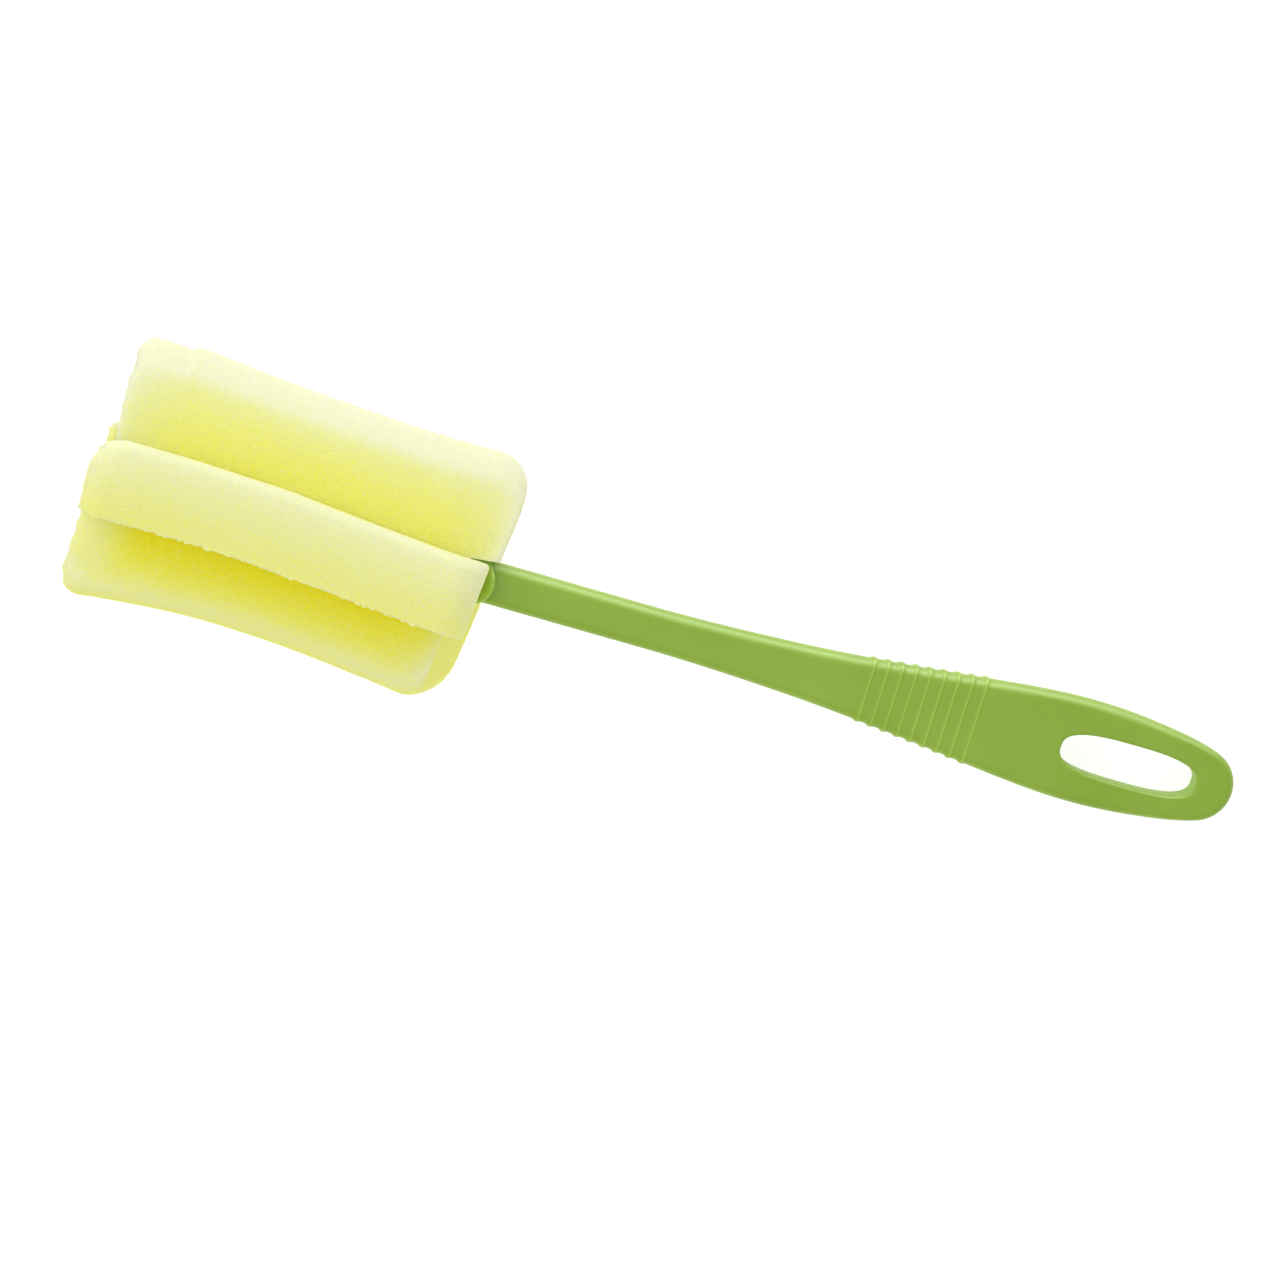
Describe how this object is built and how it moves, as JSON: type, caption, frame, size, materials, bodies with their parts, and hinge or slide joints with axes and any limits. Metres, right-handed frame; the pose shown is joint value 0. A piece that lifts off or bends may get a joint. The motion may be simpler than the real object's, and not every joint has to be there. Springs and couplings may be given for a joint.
{
  "type": "foam sponge brush",
  "caption": "Long-handled washing brush: a flat plastic handle with grip ribs and a hanging loop, and a foam head of radial vanes that bend and spring back.",
  "frame": {"origin": "centre of the whole brush's box, on the handle's axis", "axes": "+X along the brush from the foam head towards the hanging loop; +Z out of the handle's flat front face; +Y across the handle"},
  "size_m": [0.281, 0.0614, 0.0614],
  "materials": {
    "handle_plastic": "satin green moulded polypropylene",
    "foam": "pale yellow fine open-cell polyurethane foam"
  },
  "bodies": {
    "handle_and_core": {"handle": "handle_plastic", "foam_core": "foam"},
    "vane_upper": {"foam_vane_upper": "foam"},
    "vane_left": {"foam_vane_left": "foam"},
    "vane_right": {"foam_vane_right": "foam"},
    "vane_lower": {"foam_vane_lower": "foam"}
  },
  "joints": [
    {"name": "vane_upper_bend", "type": "hinge", "parent": "handle_and_core", "child": "vane_upper", "pos_m": [-0.095, 0, 0.016], "axis": [1, 0, 0], "range_deg": [-40, 40], "stiffness_Nm_per_rad": 0.015},
    {"name": "vane_left_bend", "type": "hinge", "parent": "handle_and_core", "child": "vane_left", "pos_m": [-0.095, 0.016, 0], "axis": [1, 0, 0], "range_deg": [-40, 40], "stiffness_Nm_per_rad": 0.015},
    {"name": "vane_right_bend", "type": "hinge", "parent": "handle_and_core", "child": "vane_right", "pos_m": [-0.095, -0.016, 0], "axis": [1, 0, 0], "range_deg": [-40, 40], "stiffness_Nm_per_rad": 0.015},
    {"name": "vane_lower_bend", "type": "hinge", "parent": "handle_and_core", "child": "vane_lower", "pos_m": [-0.095, 0, -0.016], "axis": [1, 0, 0], "range_deg": [-40, 40], "stiffness_Nm_per_rad": 0.015}
  ]
}
